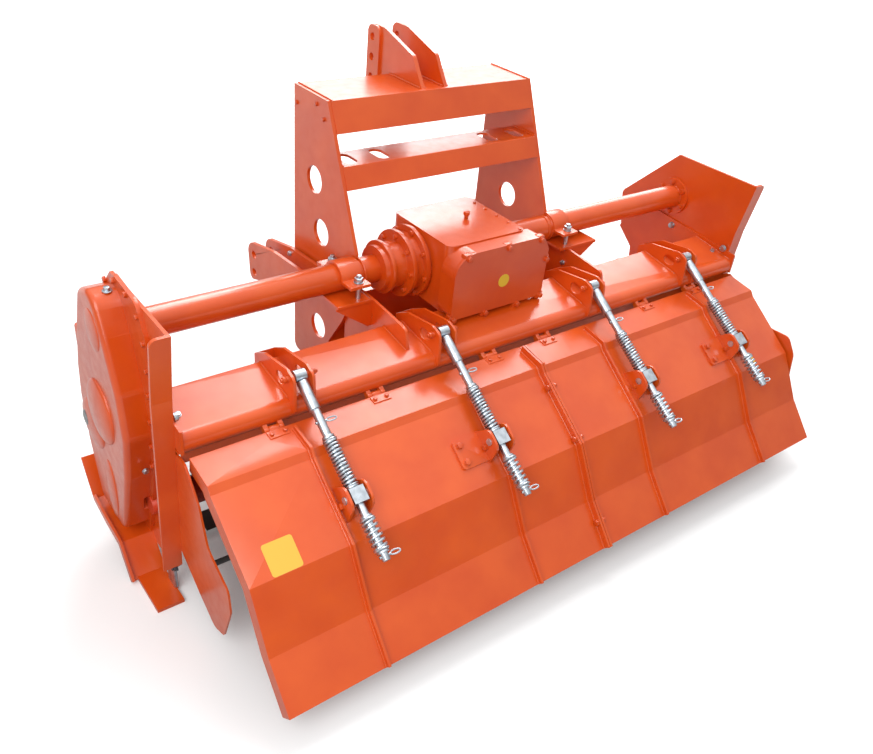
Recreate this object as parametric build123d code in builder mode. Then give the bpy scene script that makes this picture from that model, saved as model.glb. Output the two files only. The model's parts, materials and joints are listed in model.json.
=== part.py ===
"""Tractor-mounted rotary tiller, 2.3 m working width, with a side gear drive.

Millimetres. +X is the machine's right, +Y the direction of travel, +Z up, ground at Z = 0.
All y and z sizes are counted from the cross shaft's axis and from the ground, and the
planes below shift them so that the origin lies under the middle of the whole machine.
"""
import os
from math import asin, atan2, cos, hypot, radians, sin

from build123d import *

# ---------------------------------------------------------------- main frame
INNER_HALF = 1160.0          # centre plane to the inner face of a side plate
SIDE_PLATE = 10.0            # side plate thickness
SIDE_FLANGE = 45.0           # outward fold along the rear edge of a side plate
SIDE_TOP_Z = 938.0
#             y       z      rear edge, leaning forward on its way down
SIDE_REAR = ((-358.0, SIDE_TOP_Z), (-328.0, 735.0), (-291.0, 124.0))
SIDE_PEAK_Y = 20.0           # rear part of the top edge is level up to here
SIDE_NOSE_Y = 268.0
SIDE_NOSE_Z = 693.0
SIDE_FRONT_Y = 152.0
SIDE_BOTTOM_Z = 70.0

TUBE_Z = 770.0               # cross shaft height, its y is 0
TUBE_R = 45.0
TUBE_FLANGE_R = 75.0
TUBE_FLANGE = 14.0

ROTOR_Y = -140.0
ROTOR_Z = 250.0
TIP_R = 242.0
ROTOR_TUBE_R = 44.5
DISC_R = 98.0
DISC = 10.0
DISC_COUNT = 10
DISC_EDGE = 35.0             # last disc to the side plate
BLADES_PER_DISC = 6
BLADE = 8.0
BLADE_REACH = 112.0          # sideways length of a blade's foot
STUB_R = 30.0
STUB_CLEAR = 2.0
ROTOR_END_GAP = 8.0          # rotor tube to the side plate

# ---------------------------------------------------------------- hood
HOOD_SHEET = 5.0
PIPE_Y = -322.0              # round tube along the hood's rear edge
PIPE_Z = 597.0
PIPE_R = 34.0
HOOD_CREST_Y = -165.0
HOOD_CREST_Z = 656.0
HOOD_BROW_Z = 416.0
HOOD_FRONT_Y = 140.0
HOOD_FRONT_Z = 290.0
LIP_DROP = 33.0              # sealing strip below the rear tube
END_PLATE = 8.0
PIPE_REACH = hypot(HOOD_CREST_Y - PIPE_Y, HOOD_CREST_Z - PIPE_Z)
HOOD_SLOPE = atan2(HOOD_CREST_Z - PIPE_Z, HOOD_CREST_Y - PIPE_Y) - asin(PIPE_R / PIPE_REACH)
HOOD_REAR_Y = PIPE_Y - PIPE_R * sin(HOOD_SLOPE)     # the hood's sheet touches the tube here
HOOD_REAR_Z = PIPE_Z + PIPE_R * cos(HOOD_SLOPE)

# ---------------------------------------------------------------- tailgate
GATE_HALF = INNER_HALF - 14.0
GATE_SHEET = 5.0
HINGE_Y = -360.0
HINGE_Z = 567.0
HINGE_PIN_R = 6.0
HINGE_BARREL_R = 11.0
HINGE_LENGTH = 60.0
HINGE_INSET = 249.0          # outermost hinges in from the tailgate's ends
HINGE_SPOTS = (HINGE_INSET - GATE_HALF, -0.489 * GATE_HALF, -0.105 * GATE_HALF,
               0.105 * GATE_HALF, 0.541 * GATE_HALF, GATE_HALF - HINGE_INSET)
RIB = 8.0
RIB_HEIGHT = 15.0
RIB_START = 20.0             # ribs begin this far below the tailgate's top edge
SEAM_RIB = 22.0              # height of the two ribs bolted together in the middle
#             x                first corner; the second rib begins below a rod's spring
RIBS = ((-0.741 * GATE_HALF, 0), (-0.254 * GATE_HALF, 2), (0.254 * GATE_HALF, 0), (0.7345 * GATE_HALF, 0))
SEAM_GAP = 2.0
END_FLANGE = 50.0
#               y       z     outer corners from the hinge to the lip
GATE_LINE = ((-372.0, 573.0), (-478.0, 556.0), (-494.0, 536.0), (-700.0, 388.0),
             (-797.0, 226.0), (-903.0, 108.0))

# ---------------------------------------------------------------- spring rods
#                x             bracket foot towards this side
RODS = ((-0.698 * GATE_HALF, 1), (-0.262 * GATE_HALF, -1), (0.314 * GATE_HALF, 1), (0.755 * GATE_HALF, -1))
ROD_EYE_Y = -328.0
ROD_EYE_Z = 693.0
ROD_SLOPE = 33.4             # degrees below the horizontal, towards the rear
ROD_LENGTH = 560.0
ROD_R = 10.0
BLOCK_AT = 372.0             # eye to trunnion block along the rod
BLOCK = 44.0
BLOCK_BORE_R = 14.0
SPRING_R = 20.0
SPRING_START = 200.0
LOWER_SPRING_START = BLOCK_AT + BLOCK / 2 + 30
LOWER_SPRING_END = 526.0
SLEEVE_R = 13.0
SLEEVE_END = 112.0
BRACKET = 8.0
BRACKET_HALF = 52.0          # half length of a cheek where it stands on the tailgate
FOOT_LENGTH = 90.0
FOOT_WIDTH = 104.0
FOOT = 8.0
BRACKET_GAP = 6.0
TRUNNION = BRACKET_GAP + BRACKET + 3
TRUNNION_R = 11.0
PIN_CLEAR = 0.4

# ---------------------------------------------------------------- headstock
MAST_X = 409.0
MAST_PLATE = 12.0
TOP_PIN_Z = 1360.0
MAST_TOP_Z = TOP_PIN_Z - 99
MAST_FRONT_Y = 390.0
MAST_REAR_TOP_Y = 188.0
WINDOW_R = 46.0
BEAM_SHEET = 10.0
BEAM_DROP = 90.0
SHELF_Z = MAST_TOP_Z - 181
SHELF_DROP = 66.0
EAR_X = 46.0
EAR = 14.0
DOUBLER = 9.0
TOP_PIN_Y = 486.0
TOP_PIN_PITCH = 66.0
TOP_PIN_R = 12.8
EAR_R = 40.0
LOWER_OUTER_X = 500.0
LOWER_INNER_X = 430.0
LOWER_PLATE = 14.0
LOWER_PIN_Y = 514.0
LOWER_PIN_Z = 626.0
LOWER_PIN_PITCH = 70.0
LOWER_PIN_R = 14.5
LOWER_NOSE = 50.0            # plate in front of its pin holes
FRONT_BEAM = 60.0
FRONT_BEAM_Z = 330.0
CROSS_PLATE = 8.0            # plate that closes the headstock in front of the hood
CROSS_PLATE_TOP_Z = 600.0

# ---------------------------------------------------------------- drive line
CASE_DEPTH = 85.0
CASE_FLANGE = 12.0
CASE_CAP = 16.0
CASE_CAP_R = 27.0
CASE_CAP_AT = (88.0, 452.0)
BOX_TOP_Z = 893.0
BOX_BOTTOM_Z = 658.0
BOX_FRONT_Y = 120.0
BOX_REAR_Y = -190.0
BOX_LEFT_X = -190.0
BOX_RIGHT_X = 130.0
COVER_Y = -250.0
COVER = 12.0
PTO_R = 17.4
PTO_FRONT_Y = 262.0
BEARING_DEPTH = 55.0

# ---------------------------------------------------------------- skids
SKID_SOLE = 12.0
SKID_OUT = 86.0              # sole beyond the outer face of a side plate
SKID_IN = 4.0                # gap between the sole and the side plate
GUARD_SHEET = 8.0
GUARD_OUT_LEFT = 107.0       # guards reach past the drive case and the bearing
GUARD_OUT_RIGHT = 92.0
SKID_REAR_Y = -320.0

# ---------------------------------------------------------------- origin
REACH_LEFT = INNER_HALF + SIDE_PLATE + GUARD_OUT_LEFT
REACH_RIGHT = INNER_HALF + SIDE_PLATE + GUARD_OUT_RIGHT
REACH_FRONT = LOWER_PIN_Y + LOWER_NOSE
CREASE, LIP = GATE_LINE[-2:]
LIP_LENGTH = hypot(LIP[0] - CREASE[0], LIP[1] - CREASE[1])
REACH_REAR = -LIP[0] + SEAM_RIB * (CREASE[1] - LIP[1]) / LIP_LENGTH
MID_X = (REACH_LEFT - REACH_RIGHT) / 2
AXIS_Y = (REACH_REAR - REACH_FRONT) / 2


def side_view(x):
    """Plane across the machine at x, whose local axes are y and z."""
    return Plane(origin=(MID_X + x, AXIS_Y, 0), x_dir=(0, 1, 0), z_dir=(1, 0, 0))


def rear_view(y):
    """Plane at y, seen from behind, whose local axes are x and z."""
    return Plane(origin=(MID_X, AXIS_Y + y, 0), x_dir=(1, 0, 0), z_dir=(0, -1, 0))


def top_view(z):
    """Level plane at z, whose local axes are x and y."""
    return Plane(origin=(MID_X, AXIS_Y, z), x_dir=(1, 0, 0), z_dir=(0, 0, 1))


def outline(points, *rounded):
    """Closed outline; rounded holds (corner index, radius) pairs."""
    with BuildSketch() as shape:
        with BuildLine():
            Polyline(*points, close=True)
        make_face()
        for index, radius in rounded:
            corner = shape.vertices().sort_by_distance(points[index])[0]
            fillet(corner, radius)
    return shape.sketch


def sheet(points, thickness):
    """Folded sheet section: points, then their mitred copies, thickness to the left of the way."""
    normals = []
    for (a, b), (c, d) in zip(points, points[1:]):
        length = hypot(c - a, d - b)
        normals.append(((b - d) / length, (c - a) / length))
    copies = []
    for point, before, after in zip(points, normals[:1] + normals, normals + normals[-1:]):
        spread = 1 + before[0] * after[0] + before[1] * after[1]
        copies.append((point[0] + thickness * (before[0] + after[0]) / spread,
                       point[1] + thickness * (before[1] + after[1]) / spread))
    return outline(list(points) + copies[::-1])


def save(part, name):
    part.part.label = name
    export_step(part.part, f"parts/{name}.step")


os.makedirs("parts", exist_ok=True)

# ================================================================ side plates
SIDE_OUTLINE = (
    *SIDE_REAR, (SIDE_REAR[-1][0] + 45, SIDE_BOTTOM_Z), (SIDE_FRONT_Y - 60, SIDE_BOTTOM_Z),
    (SIDE_FRONT_Y, SIDE_BOTTOM_Z + 60), (SIDE_FRONT_Y, 230), (SIDE_FRONT_Y + 66, 280),
    (SIDE_FRONT_Y + 66, 380), (SIDE_FRONT_Y, 420), (SIDE_FRONT_Y, 474),
    (SIDE_NOSE_Y - 30, SIDE_NOSE_Z - 140), (SIDE_NOSE_Y, SIDE_NOSE_Z), (SIDE_PEAK_Y, SIDE_TOP_Z),
)
for side, name in ((-1, "side_plate_left"), (1, "side_plate_right")):
    inner = INNER_HALF if side > 0 else -INNER_HALF - SIDE_PLATE
    flange_x = INNER_HALF if side > 0 else -INNER_HALF - SIDE_PLATE - SIDE_FLANGE
    with BuildPart() as side_plate:
        with BuildSketch(side_view(inner)):
            add(outline(SIDE_OUTLINE, (11, 30), (12, 30)))
            with Locations((ROTOR_Y, ROTOR_Z)):
                Circle(STUB_R + STUB_CLEAR, mode=Mode.SUBTRACT)
        extrude(amount=SIDE_PLATE)
        with BuildSketch(side_view(flange_x)):
            add(sheet(SIDE_REAR, SIDE_PLATE))
        extrude(amount=SIDE_FLANGE + SIDE_PLATE)
        outer = side_plate.edges().filter_by(Axis.Y, tolerance=12).group_by(Axis.Z)[-1]
        tip = side_plate.part.bounding_box().max.X if side > 0 else side_plate.part.bounding_box().min.X
        fillet([edge for edge in outer if abs(edge.center().X - tip) < 1], 20)
    save(side_plate, name)

# ================================================================ hood
HOOD_LINE = (
    (HOOD_REAR_Y, HOOD_REAR_Z), (HOOD_CREST_Y, HOOD_CREST_Z), (HOOD_FRONT_Y, HOOD_BROW_Z),
    (HOOD_FRONT_Y, HOOD_FRONT_Z),
)
HOOD_END = (
    (PIPE_Y - PIPE_R - 2, PIPE_Z - 21), (PIPE_Y - PIPE_R - 2, HOOD_REAR_Z + 21), (42, 684), (190, 672),
    (SIDE_NOSE_Y - 34, 542), (SIDE_FRONT_Y, 474), (HOOD_FRONT_Y, HOOD_FRONT_Z + 90),
    (HOOD_FRONT_Y - HOOD_SHEET, HOOD_BROW_Z - HOOD_SHEET), (HOOD_CREST_Y, HOOD_CREST_Z - HOOD_SHEET),
    (PIPE_Y + 30, PIPE_Z), (PIPE_Y + 18, PIPE_Z - 21),
)


def hood_top(y):
    """Height of the hood's outer face at y."""
    for (a, b), (c, d) in zip(HOOD_LINE, HOOD_LINE[1:3]):
        if a <= y <= c:
            return b + (d - b) * (y - a) / (c - a)


with BuildPart() as hood:
    with BuildSketch(side_view(-INNER_HALF)):
        add(sheet(HOOD_LINE, -HOOD_SHEET))
        with Locations((PIPE_Y, PIPE_Z)):
            Circle(PIPE_R)
            Circle(PIPE_R - HOOD_SHEET, mode=Mode.SUBTRACT)
    extrude(amount=2 * INNER_HALF)
    with BuildSketch(side_view(-INNER_HALF + END_PLATE)):
        add(sheet(((PIPE_Y - 7, PIPE_Z - PIPE_R + 3), (PIPE_Y - 7, PIPE_Z - PIPE_R - LIP_DROP)), -HOOD_SHEET))
    extrude(amount=2 * INNER_HALF - 2 * END_PLATE)
    for x in (-INNER_HALF, INNER_HALF - END_PLATE):
        with BuildSketch(side_view(x)):
            add(outline(HOOD_END))
        extrude(amount=END_PLATE)
save(hood, "hood")

# ================================================================ cross tubes
for side, name in ((-1, "cross_tube_left"), (1, "cross_tube_right")):
    near = BOX_LEFT_X - 150 if side < 0 else BOX_RIGHT_X + 30
    start = -INNER_HALF if side < 0 else near
    length = INNER_HALF + near if side < 0 else INNER_HALF - near
    with BuildPart() as cross_tube:
        with BuildSketch(side_view(start)):
            with Locations((0, TUBE_Z)):
                Circle(TUBE_R)
        extrude(amount=length)
        with BuildSketch(side_view(-INNER_HALF if side < 0 else INNER_HALF - TUBE_FLANGE)):
            with Locations((0, TUBE_Z)):
                Circle(TUBE_FLANGE_R)
        extrude(amount=TUBE_FLANGE)
    save(cross_tube, name)

# ================================================================ gearbox
#                 x from, length, radius      stepped flanges of the left trumpet
TRUMPET_STEPS = ((BOX_LEFT_X - 150, 18, 74), (BOX_LEFT_X - 132, 12, 88), (BOX_LEFT_X - 120, 50, 78),
                 (BOX_LEFT_X - 70, 14, 112), (BOX_LEFT_X - 56, 34, 98), (BOX_LEFT_X - 22, 14, 120),
                 (BOX_LEFT_X - 8, 10, 112))
#                x     z    corner radius
COVER_FACE = ((-205, 662, 30), (-205, 888, 78), (160, 888, 26), (192, 838, 26), (192, 662, 30))
with BuildPart() as gearbox:
    with BuildSketch(top_view(BOX_BOTTOM_Z)):
        with Locations(((BOX_LEFT_X + BOX_RIGHT_X) / 2, (BOX_FRONT_Y + BOX_REAR_Y) / 2)):
            RectangleRounded(BOX_RIGHT_X - BOX_LEFT_X, BOX_FRONT_Y - BOX_REAR_Y, 24)
    extrude(amount=BOX_TOP_Z - BOX_BOTTOM_Z)
    for x, length, radius in TRUMPET_STEPS:
        with BuildSketch(side_view(x)):
            with Locations((0, TUBE_Z)):
                Circle(radius)
        extrude(amount=length)
    with BuildSketch(side_view(BOX_RIGHT_X - 2)):
        with Locations((0, TUBE_Z)):
            Circle(78)
    extrude(amount=32)
    with BuildSketch(rear_view(COVER_Y + COVER)):
        add(outline([row[:2] for row in COVER_FACE], *[(i, row[2]) for i, row in enumerate(COVER_FACE)]))
    extrude(amount=-60)
    with BuildSketch(rear_view(BOX_FRONT_Y)):
        with Locations((0, TUBE_Z)):
            Circle(72)
    extrude(amount=-46)
    with BuildSketch(rear_view(BOX_FRONT_Y + 50)):
        with Locations((0, TUBE_Z)):
            Circle(PTO_R + 14)
    extrude(amount=70, mode=Mode.SUBTRACT)
save(gearbox, "gearbox")

with BuildPart() as gearbox_cover:
    with BuildSketch(rear_view(COVER_Y + COVER)):
        add(outline([row[:2] for row in COVER_FACE], *[(i, row[2]) for i, row in enumerate(COVER_FACE)]))
    extrude(amount=COVER)
save(gearbox_cover, "gearbox_cover")

with BuildPart() as pto_shaft:
    with BuildSketch(rear_view(PTO_FRONT_Y)):
        with Locations((0, TUBE_Z)):
            Circle(PTO_R)
    extrude(amount=PTO_FRONT_Y - BOX_FRONT_Y + 15)
    with BuildSketch(rear_view(BOX_FRONT_Y + 52)):
        with Locations((0, TUBE_Z)):
            Circle(PTO_R + 10)
    extrude(amount=20)
save(pto_shaft, "pto_shaft")

# ================================================================ side gear drive
#               y     z    corner radius    outer face of the case
CASE_FACE = ((40, 902, 50), (-71, 945, 60), (-126, 830, 50), (-186, 687, 60), (-205, 550, 60),
             (-174, 396, 60), (-96, 144, 30), (92, 144, 40), (150, 343, 60), (166, 494, 60),
             (150, 610, 60), (100, 765, 60))
#                 y     z    corner radius    flange bolted to the side plate
CASE_FOOT = ((48, 900, 40), (-40, 962, 40), (-190, 950, 50), (-240, 860, 60), (-236, 700, 60),
             (-222, 540, 60), (-192, 396, 60), (-112, 131, 30), (104, 131, 40), (166, 343, 60),
             (182, 494, 60), (166, 610, 60), (116, 770, 60))
CASE_X = -INNER_HALF - SIDE_PLATE
with BuildPart() as drive_case:
    with BuildSketch(side_view(CASE_X - CASE_FLANGE)):
        add(outline([row[:2] for row in CASE_FOOT], *[(i, row[2]) for i, row in enumerate(CASE_FOOT)]))
    extrude(amount=CASE_FLANGE)
    with BuildSketch(side_view(CASE_X - CASE_DEPTH)):
        add(outline([row[:2] for row in CASE_FACE], *[(i, row[2]) for i, row in enumerate(CASE_FACE)]))
    extrude(amount=CASE_DEPTH - CASE_FLANGE)
    fillet(drive_case.faces().sort_by(Axis.X)[0].edges(), 16)
    with BuildSketch(side_view(CASE_X - 30)):
        with Locations((ROTOR_Y, ROTOR_Z)):
            Circle(STUB_R + STUB_CLEAR)
    extrude(amount=30, mode=Mode.SUBTRACT)
save(drive_case, "drive_case")

with BuildPart() as drive_cap:
    with BuildSketch(side_view(CASE_X - CASE_DEPTH - CASE_CAP)):
        with Locations(CASE_CAP_AT):
            Circle(CASE_CAP_R)
    extrude(amount=CASE_CAP)
    fillet(drive_cap.faces().sort_by(Axis.X)[0].edges(), 9)
save(drive_cap, "drive_cap")

with BuildPart() as rotor_bearing:
    with BuildSketch(side_view(INNER_HALF + SIDE_PLATE)):
        with Locations((ROTOR_Y, ROTOR_Z)):
            Circle(85)
    extrude(amount=14)
    with BuildSketch(side_view(INNER_HALF + SIDE_PLATE)):
        with Locations((ROTOR_Y, ROTOR_Z)):
            Circle(56)
    extrude(amount=BEARING_DEPTH)
    with BuildSketch(side_view(INNER_HALF + SIDE_PLATE)):
        with Locations((ROTOR_Y, ROTOR_Z)):
            Circle(STUB_R + STUB_CLEAR)
    extrude(amount=24, mode=Mode.SUBTRACT)
save(rotor_bearing, "rotor_bearing")

# ================================================================ rotor
DISC_SPAN = 2 * (INNER_HALF - DISC_EDGE)
DISC_PITCH = DISC_SPAN / (DISC_COUNT - 1)
TWIST = 19.0                 # degrees from one disc to the next


def blade(side):
    """L-blade pointing up from the rotor's axis, its foot towards side * X, at the origin."""
    foot = BLADE_REACH if side > 0 else -BLADE_REACH
    with BuildPart() as one:
        with BuildSketch(Plane(origin=(0, 0, 0), x_dir=(0, 1, 0), z_dir=(1, 0, 0))):
            with BuildLine():
                a = Line((-30, 60), (30, 60))
                b = ThreePointArc(a @ 1, (14, 150), (34, 236))
                c = ThreePointArc(b @ 1, (4, TIP_R), (-38, 236))
                ThreePointArc(c @ 1, (-42, 150), a @ 0)
            make_face()
        extrude(amount=BLADE_REACH, both=True)
        with BuildSketch(Plane.XZ) as section:
            with BuildLine():
                FilletPolyline((0, 60), (0, TIP_R - BLADE), (foot, TIP_R - BLADE), radius=28)
                offset(amount=BLADE, side=Side.LEFT if side > 0 else Side.RIGHT)
            make_face()
        extrude(amount=60, both=True, mode=Mode.INTERSECT)
    return one.part


blades = []
with BuildPart() as rotor:
    with BuildSketch(side_view(-INNER_HALF + ROTOR_END_GAP)):
        with Locations((ROTOR_Y, ROTOR_Z)):
            Circle(ROTOR_TUBE_R)
    extrude(amount=2 * (INNER_HALF - ROTOR_END_GAP))
    with BuildSketch(side_view(-INNER_HALF - SIDE_PLATE - 16)):
        with Locations((ROTOR_Y, ROTOR_Z)):
            Circle(STUB_R)
    extrude(amount=2 * (INNER_HALF + SIDE_PLATE + 16))
    for number in range(DISC_COUNT):
        x = -DISC_SPAN / 2 + number * DISC_PITCH
        with BuildSketch(side_view(x - DISC / 2)):
            with Locations((ROTOR_Y, ROTOR_Z)):
                Circle(DISC_R)
        extrude(amount=DISC)
    for hand, source in ((1, blade(1)), (-1, blade(-1))):
        for number in range(DISC_COUNT):
            if number == (DISC_COUNT - 1 if hand > 0 else 0):
                continue
            x = -DISC_SPAN / 2 + number * DISC_PITCH + hand * (DISC / 2 + BLADE)
            for turn in range(BLADES_PER_DISC // 2):
                angle = number * TWIST + turn * 120 + (60 if hand < 0 else 0)
                blades.append(Pos(MID_X + x, AXIS_Y + ROTOR_Y, ROTOR_Z) * Rot(angle, 0, 0) * source)
    add(blades)
save(rotor, "rotor")

# ================================================================ headstock
MAST_OUTLINE = (
    (MAST_FRONT_Y, MAST_TOP_Z), (MAST_REAR_TOP_Y, MAST_TOP_Z), (-2, 833), (-2, 690),
    (60, 560), (HOOD_FRONT_Y, 440), (HOOD_FRONT_Y, HOOD_FRONT_Z), (MAST_FRONT_Y - 12, HOOD_FRONT_Z),
)
for side, name in ((-1, "mast_plate_left"), (1, "mast_plate_right")):
    x = side * MAST_X - MAST_PLATE / 2
    with BuildPart() as mast_plate:
        with BuildSketch(side_view(x)):
            add(outline(MAST_OUTLINE, (7, 30)))
            with Locations((257, TUBE_Z + 0.444 * (MAST_TOP_Z - TUBE_Z)), (208, 822), (213, 463)):
                Circle(WINDOW_R, mode=Mode.SUBTRACT)
            with Locations((0, TUBE_Z)):
                Circle(TUBE_R + 1, mode=Mode.SUBTRACT)
            with Locations((HOOD_FRONT_Y + FRONT_BEAM / 2, FRONT_BEAM_Z)):
                Rectangle(FRONT_BEAM, FRONT_BEAM, mode=Mode.SUBTRACT)
        extrude(amount=MAST_PLATE)
    save(mast_plate, name)

MAST_INNER = MAST_X - MAST_PLATE / 2
BEAM_LINE = ((MAST_FRONT_Y - 2, MAST_TOP_Z), (MAST_REAR_TOP_Y - 2, MAST_TOP_Z),
             (MAST_REAR_TOP_Y - 44, MAST_TOP_Z - BEAM_DROP))
with BuildPart() as mast_beam:
    with BuildSketch(side_view(-MAST_INNER)):
        add(sheet(BEAM_LINE, BEAM_SHEET))
    extrude(amount=2 * MAST_INNER)
save(mast_beam, "mast_beam")

with BuildPart() as mast_cross_plate:
    with BuildSketch(rear_view(HOOD_FRONT_Y + CROSS_PLATE)):
        with Locations((0, (FRONT_BEAM_Z + FRONT_BEAM / 2 + CROSS_PLATE_TOP_Z) / 2)):
            Rectangle(2 * MAST_INNER, CROSS_PLATE_TOP_Z - FRONT_BEAM_Z - FRONT_BEAM / 2)
    extrude(amount=CROSS_PLATE)
save(mast_cross_plate, "mast_cross_plate")

SHELF_LINE = ((230, SHELF_Z), (106, SHELF_Z), (75, SHELF_Z - SHELF_DROP))
with BuildPart() as hose_shelf:
    with BuildSketch(side_view(-MAST_INNER)):
        add(sheet(SHELF_LINE, 8))
    extrude(amount=2 * MAST_INNER)
    with BuildSketch(top_view(SHELF_Z)):
        with Locations((-352, 168), (-228, 168), (228, 168), (352, 168)):
            SlotOverall(86, 44, rotation=90)
    extrude(amount=-20, mode=Mode.SUBTRACT)
save(hose_shelf, "hose_shelf")

EAR_FOOT_Z = TOP_PIN_Z - 2 * TOP_PIN_PITCH - 38
EAR_OUTLINE = ((TOP_PIN_Y + 29, EAR_FOOT_Z), (TOP_PIN_Y + 29, TOP_PIN_Z + 40), (TOP_PIN_Y - 60, TOP_PIN_Z + 40),
               (262, TOP_PIN_Z - 10), (200, MAST_TOP_Z), (MAST_FRONT_Y, MAST_TOP_Z), (MAST_FRONT_Y, EAR_FOOT_Z))
ear_parts = []
for side in (-1, 1):
    x = side * EAR_X - EAR / 2
    with BuildPart() as ear:
        with BuildSketch(side_view(x)):
            add(outline(EAR_OUTLINE, (1, 28), (2, 36), (3, 20)))
        extrude(amount=EAR)
        with BuildSketch(side_view(x - DOUBLER if side < 0 else x + EAR)):
            with Locations((TOP_PIN_Y - 6, TOP_PIN_Z - 65)):
                RectangleRounded(70, 208, 26)
        extrude(amount=DOUBLER)
        with BuildSketch(side_view(x - 20)):
            with Locations(*[(TOP_PIN_Y, TOP_PIN_Z - TOP_PIN_PITCH * step) for step in range(3)]):
                Circle(TOP_PIN_R)
        extrude(amount=60, mode=Mode.SUBTRACT)
    ear_parts.append(ear.part)
top_link_ears = Compound(children=ear_parts, label="top_link_ears")
export_step(top_link_ears, "parts/top_link_ears.step")

SEAT_Z = TUBE_Z - TUBE_R - 10     # underside of the clamps' level seats
LOWER_OUTLINE = ((LOWER_PIN_Y + LOWER_NOSE, 660), (375, 700), (207, 711), (100, SEAT_Z - 0.02),
                 (48, SEAT_Z - 0.02), (300, 600), (LOWER_PIN_Y + 31, 516))
for side, name in ((-1, "lower_hitch_left"), (1, "lower_hitch_right")):
    plates = []
    for middle in (LOWER_INNER_X, LOWER_OUTER_X):
        x = side * middle - LOWER_PLATE / 2
        with BuildPart() as plate:
            with BuildSketch(side_view(x)):
                add(outline(LOWER_OUTLINE, (0, 44), (1, 80), (6, 22)))
                with Locations(*[(LOWER_PIN_Y, LOWER_PIN_Z - LOWER_PIN_PITCH * step) for step in range(2)]):
                    Circle(LOWER_PIN_R, mode=Mode.SUBTRACT)
            extrude(amount=LOWER_PLATE)
        plates.append(plate.part)
    hitch = Compound(children=plates, label=name)
    export_step(hitch, f"parts/{name}.step")

with BuildPart() as front_beam:
    with BuildSketch(side_view(-INNER_HALF)):
        with Locations((HOOD_FRONT_Y + FRONT_BEAM / 2, FRONT_BEAM_Z)):
            Rectangle(FRONT_BEAM, FRONT_BEAM)
            Rectangle(FRONT_BEAM - 12, FRONT_BEAM - 12, mode=Mode.SUBTRACT)
    extrude(amount=2 * INNER_HALF)
save(front_beam, "front_beam")

# ================================================================ tube clamps and braces
CLAMP_X = (-492.0, 417.0)
CLAMP_WIDTH = 75.0
CLAMP_WALL = 10.0
CLAMP_BOLT_Y = 78.0
saddles = []
for x in CLAMP_X:
    with BuildPart() as saddle:
        with BuildSketch(side_view(x)):
            with Locations((0, TUBE_Z)):
                Circle(TUBE_R + CLAMP_WALL)
            with Locations((0, TUBE_Z + 5)):
                Rectangle(2 * CLAMP_BOLT_Y + 50, CLAMP_WALL)
            with Locations((0, TUBE_Z)):
                Circle(TUBE_R, mode=Mode.SUBTRACT)
            with Locations((0, TUBE_Z - 100)):
                Rectangle(300, 200, mode=Mode.SUBTRACT)
        extrude(amount=CLAMP_WIDTH)
    saddles.append(saddle.part)
tube_saddles = Compound(children=saddles, label="tube_saddles")
export_step(tube_saddles, "parts/tube_saddles.step")

BRACE_X = (-403.0, 456.0)
BRACE = 10.0
SEAT_HALF_Y = CLAMP_BOLT_Y + 25
GUSSET_REACH = 134.0
GUSSET_LOW = 622.0
BRACE_OUTLINE = ((60, SEAT_Z), (-SEAT_HALF_Y, SEAT_Z), (-275, 700), (-292, hood_top(-292) + 0.02),
                 (HOOD_CREST_Y, HOOD_CREST_Z + 0.02), (60, hood_top(60) + 0.02))
braces = []
brackets = []
#                 brace x, inner end of the level seat, way out
for x, inner, way in ((BRACE_X[0], CLAMP_X[0] + CLAMP_WIDTH, -1), (BRACE_X[1], CLAMP_X[1], 1)):
    with BuildPart() as brace:
        with BuildSketch(side_view(x)):
            add(outline(BRACE_OUTLINE, (2, 20)))
        extrude(amount=BRACE)
    braces.append(brace.part)
    root = x + (BRACE if way > 0 else 0)
    outer = root + way * GUSSET_REACH
    with BuildPart() as bracket:
        with BuildSketch(top_view(SEAT_Z)):
            with Locations(((inner + outer) / 2, 0)):
                Rectangle(abs(outer - inner), 2 * SEAT_HALF_Y)
        extrude(amount=CLAMP_WALL)
        with BuildSketch(rear_view(-86)):
            add(outline(((root, SEAT_Z + 1), (outer, SEAT_Z + 1), (outer, SEAT_Z - 8),
                         (root + way * 14, GUSSET_LOW), (root, GUSSET_LOW))))
        extrude(amount=8)
    brackets.append(bracket.part)
export_step(Compound(children=braces, label="braces"), "parts/braces.step")
export_step(Compound(children=brackets, label="clamp_brackets"), "parts/clamp_brackets.step")

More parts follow.
